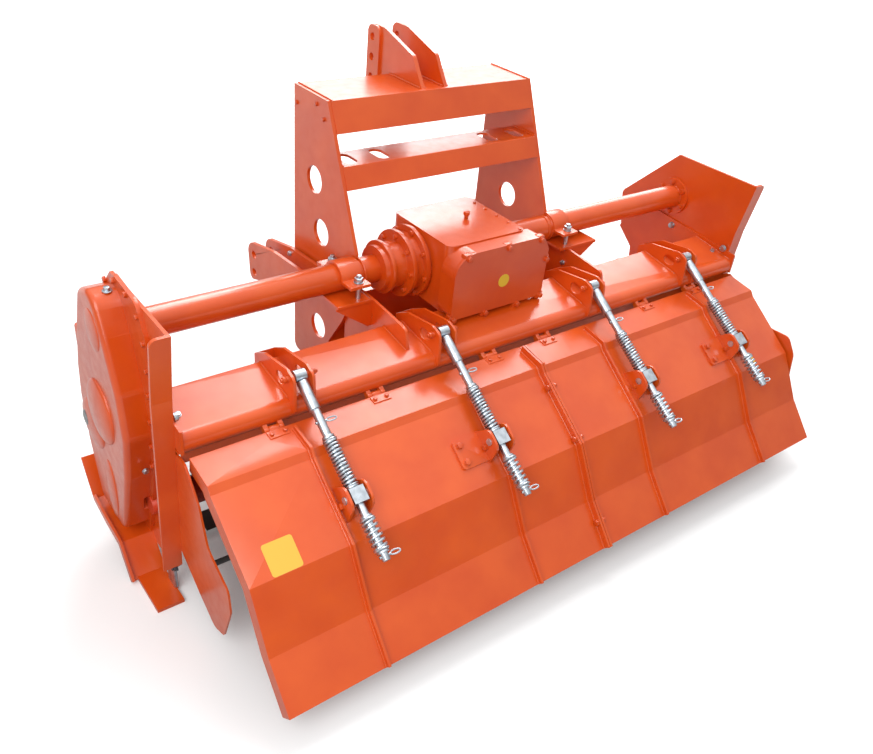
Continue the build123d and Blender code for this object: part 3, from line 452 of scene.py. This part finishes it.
# the nut shows the end of its thread
NUT = joined([hexagon(NUT_HEIGHT, 0.9), washer(), disc(6, 12, 19, 16, 1.0)], "nut_pattern")
fasteners = {}


def keep(body, look, piece):
    """Puts a piece with the fasteners of a body that have the same finish."""
    fasteners.setdefault((body, look.name), []).append(piece)


def fasten(body, source, position, direction, size=1.0, look=ZINC):
    """Adds one bolt or nut to those of a body."""
    keep(body, look, copy_of(source, toward(position, direction, size)))


def ring_of_bolts(centre, direction, radius, count, size, look=ZINC, start=0.0):
    """Bolts on a circle round centre, in millimetres, on a plane across direction."""
    for number in range(count):
        angle = start + number * math.tau / count
        across, rise = radius * math.cos(angle), radius * math.sin(angle)
        if abs(direction[0]) > 0.5:
            spot = (centre[0], centre[1] + across, centre[2] + rise)
        else:
            spot = (centre[0] + across, centre[1], centre[2] + rise)
        fasten("frame", BOLT, at(*spot), direction, size, look)


TUBE_Z = 770  # height of the cross tube's axis

# cross tube flanges, bolted through the side plates
for side in SIDES:
    ring_of_bolts((side * 1146, 0, TUBE_Z), (-side, 0, 0), 61, 6, 1.05, CAST_PAINT, 0.4)
ring_of_bolts((1170, 0, TUBE_Z), RIGHT, 61, 6, 0.8, ZINC, 0.4)
# rotor bearing
ring_of_bolts((1184, -140, 250), RIGHT, 70, 6, 0.85)
# gearbox: trumpet, end flange and input, then the cover with an ear under each bolt
ring_of_bolts((-212, 0, TUBE_Z), LEFT, 109, 8, 0.75, CAST_PAINT, 0.2)
ring_of_bolts((-260, 0, TUBE_Z), LEFT, 95, 8, 0.75, CAST_PAINT)
ring_of_bolts((0, 166, TUBE_Z), AHEAD, 60, 6, 0.7, CAST_PAINT)
COVER_Y = -250
COVER_BOLTS = ((-157, 872), (8, 876), (150, 876), (186, 800), (184, 664), (81, 656), (-60, 658),
               (-194, 664))
for x, z in COVER_BOLTS:
    fasten("frame", BOLT, at(x, COVER_Y, z), REAR, 0.9, CAST_PAINT)
    keep("frame", CAST_PAINT, block((30, 26, 30), at(x, COVER_Y + 13, z) * 1000, 6.0))
# side gear drive, screwed to the side plate along its flange
DRIVE_FLANGE = ((22, 917), (-48, 946), (-130, 945), (-198, 915), (-224, 850), (-227, 770),
                (-222, 690), (-214, 600), (-203, 510), (-187, 430), (90, 830), (126, 720),
                (160, 610), (172, 500), (164, 400), (148, 300), (118, 205))
for y, z in DRIVE_FLANGE:
    fasten("frame", BOLT, at(-1182, y, z), LEFT, 0.75, CAST_PAINT)
fasten("frame", BOLT, at(-1205, -196, 430), (0, -0.98, -0.2), 0.8)
# hood end plates, deflector pivots, skids
for side in SIDES:
    for y, z in ((-301, 660), (-36, 653), (140, 650)):
        fasten("frame", BOLT, at(side * 1152, y, z), (-side, 0, 0), 1.15)
    fasten("frame", BOLT, at(side * 1128, -270, 639.8), (0, -0.155, 0.988), 0.8)
    fasten("frame", BOLT, at(side * 1154, -322, 532), (-side, 0, 0), 0.8)
    for z in (175, 120):
        fasten("frame", BOLT, at(side * 1180, -245, z), (side, 0, 0), 0.75)
    fasten("frame", NUT, at(side * 1170, -272, 100), (side, 0, 0), 0.9, DARK_STEEL)
# galvanised height bar of each skid
bars = [block((11.2, 50, 186), at(side * 1175.9, -245, 107) * 1000, 3.0) for side in SIDES]
finish(joined(bars, "skid_bars"), ZINC, "frame")
# tube clamps: a bolt before and behind the tube, from the saddle down through the bracket
SHANK = disc(8, 0, 45, 12)
for x in (-448.5, 460.5):
    for y in (-78, 78):
        fasten("frame", NUT, at(x, y, 780), UP, 1.35)
        fasten("frame", BOLT, at(x, y, 715), BELOW, 1.2)
        fasten("frame", SHANK, at(x, y, 725), UP)
# walls of the braces, and cheeks of the lower hitch
for side, brace_x in zip(SIDES, (-403, 456)):
    fasten("frame", BOLT, at(brace_x, -90, 655), (-side, 0, 0), 0.8)
    fasten("frame", BOLT, at(side * 437, 374, 679), (side, 0, 0), 0.8)
# mast plates, to the beam between them
for side in SIDES:
    for y, z in ((372, 1205), (250, 1235), (205, 1200)):
        fasten("frame", BOLT, at(side * 415, y, z), (side, 0, 0), 0.6, CAST_PAINT)

# tailgate's section on its outer side, from the first fold to the lower edge
GATE = ((-494, 536), (-700, 388), (-797, 226), (-903, 108))
GATE_HALF = 1146
# the seam's bolts stand on the faces between two folds, at these shares of the way down
for (ya, za), (yb, zb), shares in ((GATE[0], GATE[1], (0.2, 0.93)), (GATE[2], GATE[3], (0.45,))):
    length = math.hypot(yb - ya, zb - za)
    out_y, out_z = (zb - za) / length, -(yb - ya) / length
    for share in shares:
        y, z = ya + (yb - ya) * share + out_y * 12, za + (zb - za) * share + out_z * 12
        fasten("tailgate", BOLT, at(-9, y, z), LEFT, 0.95, CAST_PAINT)
        fasten("tailgate", NUT, at(9, y, z), RIGHT, 0.8, CAST_PAINT)
FACE_DOWN = Vector((0, GATE[1][0] - GATE[0][0], GATE[1][1] - GATE[0][1])).normalized()
FACE_OUT = Vector((0, FACE_DOWN.z, -FACE_DOWN.y))


def on_face(x, along, height=0.0):
    """Point over the tailgate's middle face, along millimetres down it and height off it."""
    return at(x, *GATE[0]) + (FACE_DOWN * along + FACE_OUT * height) / 1000


# trunnion brackets: a bolt through each cheek, two in the wide foot of every second one
for number, x in enumerate(ROD_X):
    fasten("tailgate", BOLT, on_face(x - 36, 152, 19), LEFT, 0.9, CAST_PAINT)
    fasten("tailgate", BOLT, on_face(x + 36, 152, 19), RIGHT, 0.9, CAST_PAINT)
    if number % 2:
        for along in (118, 172):
            fasten("tailgate", BOLT, on_face(x - 112, along, 8), FACE_OUT, 0.95, CAST_PAINT)
# hinge leaves, two screws in each
HINGES = (-897, -0.489 * GATE_HALF, -0.105 * GATE_HALF, 0.105 * GATE_HALF, 0.541 * GATE_HALF, 897)
for hinge_x in HINGES:
    for dx in (-20, 20):
        fasten("tailgate", BOLT, at(hinge_x + dx, -390, 574), (0, -0.16, 0.987), 0.6, CAST_PAINT)

# ---------------------------------------------------------------- spring rods
ROD_SLOPE = math.radians(33.4)
DOWN = Vector((0, -math.cos(ROD_SLOPE), -math.sin(ROD_SLOPE)))
COIL_WIRE = 3.9
CLOSED = 0.75  # turns that lie flat at each end of a spring


def rod_matrix(eye):
    """Stands a piece made along Z from the eye down the rod."""
    side = Vector(RIGHT)
    rows = Matrix((side, DOWN.cross(side), DOWN)).transposed().to_4x4()
    return Matrix.Translation(eye) @ rows


def coil(radius, start, end, turns, name):
    """Compression spring along Z whose end turns close up and lie flat, in millimetres."""
    steps = 20
    points = []
    for index in range(int((turns + 2 * CLOSED) * steps) + 1):
        turn = index / steps
        rise = min(max(turn - CLOSED, 0.0), turns) / turns
        angle = turn * math.tau
        height = start + COIL_WIRE + (end - start - 2 * COIL_WIRE) * rise
        points.append(Vector((radius * math.cos(angle), radius * math.sin(angle), height)) / 1000)
    return wire(points, COIL_WIRE, name, sides=2)


def ring_clip(along, name):
    """Safety clip: a pin through the rod and an oval wire ring that stands out beside it."""
    count = 28
    ring = []
    for number in range(count):
        angle = number * math.tau / count
        out, lift, rise = 33 + 16 * math.cos(angle), 3 * math.sin(angle), 6 * math.sin(angle)
        ring.append(Vector((out, lift, along + rise)) / 1000)
    pin = disc(4, -17, 20, 16, 0.8)
    pin.data.transform(Matrix.Translation((0, 0, along / 1000)) @ Matrix.Rotation(math.pi / 2, 4, "Y"))
    return joined([wire(ring, 2.4, "ring", sides=2, cyclic=True), pin], name)


# socket under the eye, neck and shoulder, then the bar in the upper spring and the thicker
# one through the block, with the lower spring's two plates
rod_parts = [
    disc(16.5, 20, 108, bevel=1.0), disc(13, 104, 191, bevel=1.0), disc(18, 190, 198, bevel=1.2),
    disc(10, 197, 352, 24), disc(12, 350, 560, 24, 3.0),
    disc(18, 430, 436, bevel=1.0), disc(18, 531, 538, bevel=1.0),
    coil(19.0, 436, 531, 6, "lower_coil"), ring_clip(146, "upper_clip"), ring_clip(546, "lower_clip"),
]
eye_ring = tube(18, 8.4, -17, 17)
eye_ring.data.transform(Matrix.Rotation(math.pi / 2, 4, "Y"))
rod_pattern = joined([eye_ring, *rod_parts], "rod_pattern")
coil_pattern = coil(17.4, 199, 349, 14, "coil_pattern")
for number, eye in enumerate(ROD_EYES, start=1):
    rod = copy_of(rod_pattern, rod_matrix(eye), f"rod_with_lower_spring_{number}")
    finish(rod, ZINC, f"rod_{number}")
    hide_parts(f"spring_rod_{number}")
    upper = finish(copy_of(coil_pattern, rod_matrix(eye), f"coil_upper_{number}"), ZINC, f"rod_{number}")
    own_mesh(upper)
    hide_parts(f"upper_spring_{number}")
    for side in SIDES:
        fasten("frame", NUT, eye + Vector((side * 0.04, 0, 0)), (side, 0, 0), 0.9, CAST_PAINT)
remove(rod_pattern)
remove(coil_pattern)

# ---------------------------------------------------------------- side gear drive's raised forms
FACE_X = -1255


def swell(y, z, long, wide, high):
    """Low oval boss on the case's outer face, from its middle and half sizes."""
    clear()
    bpy.ops.mesh.primitive_uv_sphere_add(segments=40, ring_count=20, radius=1)
    made = bpy.context.object
    made.scale = (high / 1000, wide / 1000, long / 1000)
    made.location = at(FACE_X, y, z)
    return settle(made)


# top, foot, hub and the swell behind the hub, then the block on the front edge
case_forms = [
    swell(-52, 820, 62, 52, 7), swell(-30, 262, 108, 42, 8), swell(62, 446, 78, 84, 15),
    swell(-30, 545, 100, 96, 20), block((26, 34, 78), at(FACE_X + 22, 140, 694) * 1000, 8.0),
]
finish(joined(case_forms, "drive_case_bosses"), CAST_PAINT, "frame")


# ---------------------------------------------------------------- plug, top screws and breather
plug = joined([disc(16, 0, 4, 24, 0.8), disc(11, 4, 16, HEXAGON, 1.0)], "plug_pattern")
fasten("frame", plug, at(-1206, -60, 926), UP, 0.8)
for y in (60, 0, -60, -120, -180):
    fasten("frame", BOLT, at(112, y, 892), UP, 0.55, CAST_PAINT)
breather = joined([disc(9, 0, 12, HEXAGON, 1.0), disc(14, 12, 30, 24, 4.0)], "breather_pattern")
fasten("frame", breather, at(4, -29, 893), UP, 0.8, CAST_PAINT)

for (body, look), pieces in fasteners.items():
    piece = joined(pieces, f"fasteners_{body}_{look}")
    finish(piece, bpy.data.materials[look], body)
for pattern in (BOLT, NUT, SHANK, plug, breather):
    remove(pattern)

# ---------------------------------------------------------------- input shaft's splines
SHAFT_LENGTH = 79
shaft_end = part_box("pto_shaft")[1][1]
shaft_middle = middle("pto_shaft")
splines = [disc(14.5, 0, SHAFT_LENGTH - 1, 24, 2.0)]
tooth = block((7.5, 8, 74), (0, 13, 39), 1.2)
for number in range(6):
    splines.append(copy_of(tooth, Matrix.Rotation(number * math.tau / 6, 4, "Z")))
remove(tooth)
splines.append(disc(27, -93, 0, bevel=2.0))
shaft = joined(splines, "splined_input_shaft")
shaft_foot = Vector((shaft_middle.x, shaft_end - SHAFT_LENGTH / 1000, shaft_middle.z))
shaft.data.transform(toward(shaft_foot, AHEAD))
finish(shaft, BRIGHT_STEEL, "pto_shaft")
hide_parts("pto_shaft")


# ---------------------------------------------------------------- weld beads
RIPPLE = 6  # millimetres from one ripple of a bead to the next


def bead(points, radius=3.5):
    """Rippled weld bead along a straight run or a ring of points, in millimetres."""
    path = []
    for start, end in zip(points, points[1:]):
        start, end = Vector(start), Vector(end)
        steps = max(2, int((end - start).length / RIPPLE))
        path += [start.lerp(end, step / steps) for step in range(steps)]
    path.append(Vector(points[-1]))
    radii = [1.0 if index % 2 else 0.78 for index in range(len(path))]
    return wire([at(*point) for point in path], radius, "bead", sides=1, radii=radii)


def ring_points(x, radius):
    """Circle round the cross tube's axis, closed by its first point."""
    count = 48
    angles = [math.tau * number / count for number in range(count + 1)]
    return [(x, radius * math.cos(a), TUBE_Z + radius * math.sin(a)) for a in angles]


# the hood's section from its rear edge over the ridge to its front edge
HOOD = ((-327.3, 630.6), (-165, 656), (140, 416))
RIDGE = HOOD[1]
beads = []
for x in ROD_X:
    for wall in (-35, 35):
        beads.append(bead([(x + wall, *HOOD[0]), (x + wall, *RIDGE), (x + wall, -131, 629.5)]))
for x in (-405, -391, 454, 468):
    beads.append(bead([(x, -290, 636), (x, *RIDGE), (x, 58, 481)]))
for side in SIDES:
    beads.append(bead(ring_points(side * 1144.5, 46)))
    for x in (400.5, 417.5):
        beads.append(bead(ring_points(side * x, 46.5), 4.0))
    for x in (421, 439, 491, 509):
        beads.append(bead([(side * x, 52, 713), (side * x, 101, 713)]))
for side in SIDES:
    for x in (36.5, 55.5):
        beads.append(bead([(side * x, 204, 1263), (side * x, 386, 1263)]))
    beads.append(bead([(side * 401, 186, 1262), (side * 401, 386, 1262)]))
    beads.append(bead([(side * 401, 108, 1082), (side * 401, 228, 1082)]))
    beads.append(bead([(side * 1150.5, -340, 629), (side * 1150.5, *RIDGE), (side * 1150.5, 136, 420)]))
finish(joined(beads, "weld_beads"), SHEET_PAINT, "frame", 60)

# the end flanges run on under the tailgate's top face, 25 mm below it
TOP_TILT = math.atan2(17, 106)
STRIP_DEPTH = 25
strips = []
for side in SIDES:
    clear()
    bpy.ops.mesh.primitive_cube_add(size=1)
    strip = bpy.context.object
    strip.scale = (0.004, 0.104, 0.046)
    strip.rotation_euler = (TOP_TILT, 0, 0)
    strip.location = at(side * 1143, -424 + STRIP_DEPTH * 0.158, 565 - STRIP_DEPTH * 0.987)
    strips.append(settle(strip))
finish(joined(strips, "tailgate_end_strips"), SHEET_PAINT, "tailgate")

# ribs and seam of the tailgate, a bead on each side
RIB_LINE = ((-392, 569.8), (-478, 556), *GATE)
gate_beads = []
for rib_x, line in ((-849, RIB_LINE), (-291, RIB_LINE[2:]), (291, RIB_LINE), (841.7, RIB_LINE)):
    for dx in (-5, 5):
        gate_beads.append(bead([(rib_x + dx, *point) for point in line], 4.0))
for x in (-10, 10):
    gate_beads.append(bead([(x, *point) for point in RIB_LINE], 4.0))
finish(joined(gate_beads, "tailgate_welds"), SHEET_PAINT, "tailgate", 60)


# ---------------------------------------------------------------- blank signs
def sign(width, height, corner, name, look, matrix, body):
    """Blank rounded film, half a millimetre thick."""
    clear()
    bpy.ops.mesh.primitive_plane_add(size=1)
    made = bpy.context.object
    made.scale = (width / 1000, height / 1000, 1)
    settle(made)
    bpy.ops.object.mode_set(mode="EDIT")
    bpy.ops.mesh.select_all(action="SELECT")
    bpy.ops.mesh.bevel(offset=corner / 1000, segments=4, affect="VERTICES")
    bpy.ops.object.mode_set(mode="OBJECT")
    apply_modifier(made, "SOLIDIFY", thickness=0.0005, offset=1.0)
    made.data.transform(matrix)
    made.name = name
    return finish(made, look, body)


def on_gate(x, along):
    """Stands a sign on the tailgate's middle face, along millimetres down it."""
    side = Vector(RIGHT)
    face = Matrix((side, -FACE_DOWN, side.cross(-FACE_DOWN))).transposed().to_4x4()
    return Matrix.Translation(on_face(x, along)) @ face


sign(88, 88, 8, "blank_sign_left", YELLOW_FILM, on_gate(-1035, 208), "tailgate")
sign(44, 44, 5, "blank_sign_right", YELLOW_FILM, on_gate(937, 222), "tailgate")
# a round one on the gearbox cover
sign(46, 46, 22.9, "blank_sign_gearbox", GOLD_FILM,
     Matrix.Translation(at(5, COVER_Y, 761)) @ Matrix.Rotation(math.pi / 2, 4, "X"), "frame")

# ---------------------------------------------------------------- edges of the CAD sheets
SHEET_EDGE = 0.0014
TRUNNION_EDGE = 0.004
for name, node in NODES.items():
    if name.startswith(("spring_rod", "upper_spring", "pto_shaft")):
        continue
    weld = node.modifiers.new("weld", "WELD")
    weld.merge_threshold = 0.00005
    edge = node.modifiers.new("edge", "BEVEL")
    edge.width = TRUNNION_EDGE if name.startswith("trunnion") else SHEET_EDGE
    edge.segments = 2
    edge.limit_method = "ANGLE"
    edge.angle_limit = math.radians(40)
    edge.harden_normals = False

# ---------------------------------------------------------------- floor
WHITE = (1, 1, 1, 1)
clear()
bpy.ops.mesh.primitive_plane_add(size=60, location=(0, 0, 0))
floor = bpy.context.object
floor.name = "floor"
floor_look, tree, shader, where = material("studio_floor", "e9e9e9", 0.95)
shader.inputs["Specular IOR Level"].default_value = 0.0
shader.inputs["Emission Color"].default_value = WHITE
light_path = add_node(tree, "ShaderNodeLightPath")
# glows the more, the further it lies from the machine, and only to the camera and in reflections
seen = add_node(tree, "ShaderNodeMath",
                links=[(light_path, "Is Camera Ray", 0), (light_path, "Is Glossy Ray", 1)],
                operation="MAXIMUM")
away = add_node(tree, "ShaderNodeVectorMath", links=[(where, "Object", 0)], operation="LENGTH")
far = add_node(tree, "ShaderNodeMapRange", limits(1.9, 5.5, 0.1, 0.7), [(away, "Value", "Value")])
glow = add_node(tree, "ShaderNodeMath", links=[(seen, "Value", 0), (far, "Result", 1)],
                operation="MULTIPLY")
# rays that bounce off the floor onto the machine find it darker than the eye does
pale = add_node(tree, "ShaderNodeMapRange", limits(0.0, 1.0, 0.0, 1.0),
                [(light_path, "Is Camera Ray", "Value")])
ground = add_node(tree, "ShaderNodeMix", {FIRST: colour("a6a6a6"), SECOND: colour("ededed")},
                  [(pale, "Result", 0)], data_type="RGBA")
link(tree, shader, [(glow, "Value", "Emission Strength"), (ground, MIXED, "Base Color")])
floor.data.materials.append(floor_look)

# ---------------------------------------------------------------- sky
world = bpy.data.worlds.new("studio")
bpy.context.scene.world = world
world.use_nodes = True
tree = world.node_tree
tree.nodes.clear()
light_path = add_node(tree, "ShaderNodeLightPath")
seen = add_node(tree, "ShaderNodeMath",
                links=[(light_path, "Is Camera Ray", 0), (light_path, "Is Transmission Ray", 1)],
                operation="MAXIMUM")
# bright overhead and dimmer towards the horizon, so level faces gleam and upright ones stay deep
heading = add_node(tree, "ShaderNodeTexCoord")
parts = add_node(tree, "ShaderNodeSeparateXYZ", links=[(heading, "Generated", "Vector")])
dome = add_node(tree, "ShaderNodeMapRange", limits(0.0, 0.9, 0.34, 0.85), [(parts, "Z", "Value")])
glaze = add_node(tree, "ShaderNodeMapRange", limits(0.1, 0.9, 0.15, 1.6), [(parts, "Z", "Value")])
# reflections take the steeper of the two
unseen = add_node(tree, "ShaderNodeMapRange",
                  links=[(light_path, "Is Glossy Ray", "Value"), (dome, "Result", "To Min"),
                         (glaze, "Result", "To Max")])
# the camera finds plain white
level = add_node(tree, "ShaderNodeMapRange", {"To Max": 1.0},
                 [(seen, "Value", "Value"), (unseen, "Result", "To Min")])
sky = add_node(tree, "ShaderNodeBackground", {"Color": WHITE}, [(level, "Result", "Strength")])
add_node(tree, "ShaderNodeOutputWorld", links=[(sky, "Background", "Surface")])

# ---------------------------------------------------------------- lamps
# name, place and size in metres, power in watts
LAMPS = (
    ("back", (5.5, 6.5, 7.5), 6.0, 780),
    ("top", (1.2, 1.4, 6.5), 2.5, 120),
    ("key", (-3.6, -2.4, 3.6), 3.5, 155),
    ("gleam", (4.2, 6.0, 3.3), 4.0, 80),
)
AIM = Vector((0, 0, 0.5))
for name, spot, size, power in LAMPS:
    light_data = bpy.data.lights.new(name, "AREA")
    light_data.size = size
    light_data.energy = power
    light = bpy.data.objects.new(name, light_data)
    bpy.context.collection.objects.link(light)
    light.location = spot
    # the low one shows only as a gleam along edges and level faces
    light.visible_diffuse = name != "gleam"
    light.rotation_euler = (AIM - light.location).to_track_quat("-Z", "Y").to_euler()

bpy.context.scene.view_settings.view_transform = "Standard"
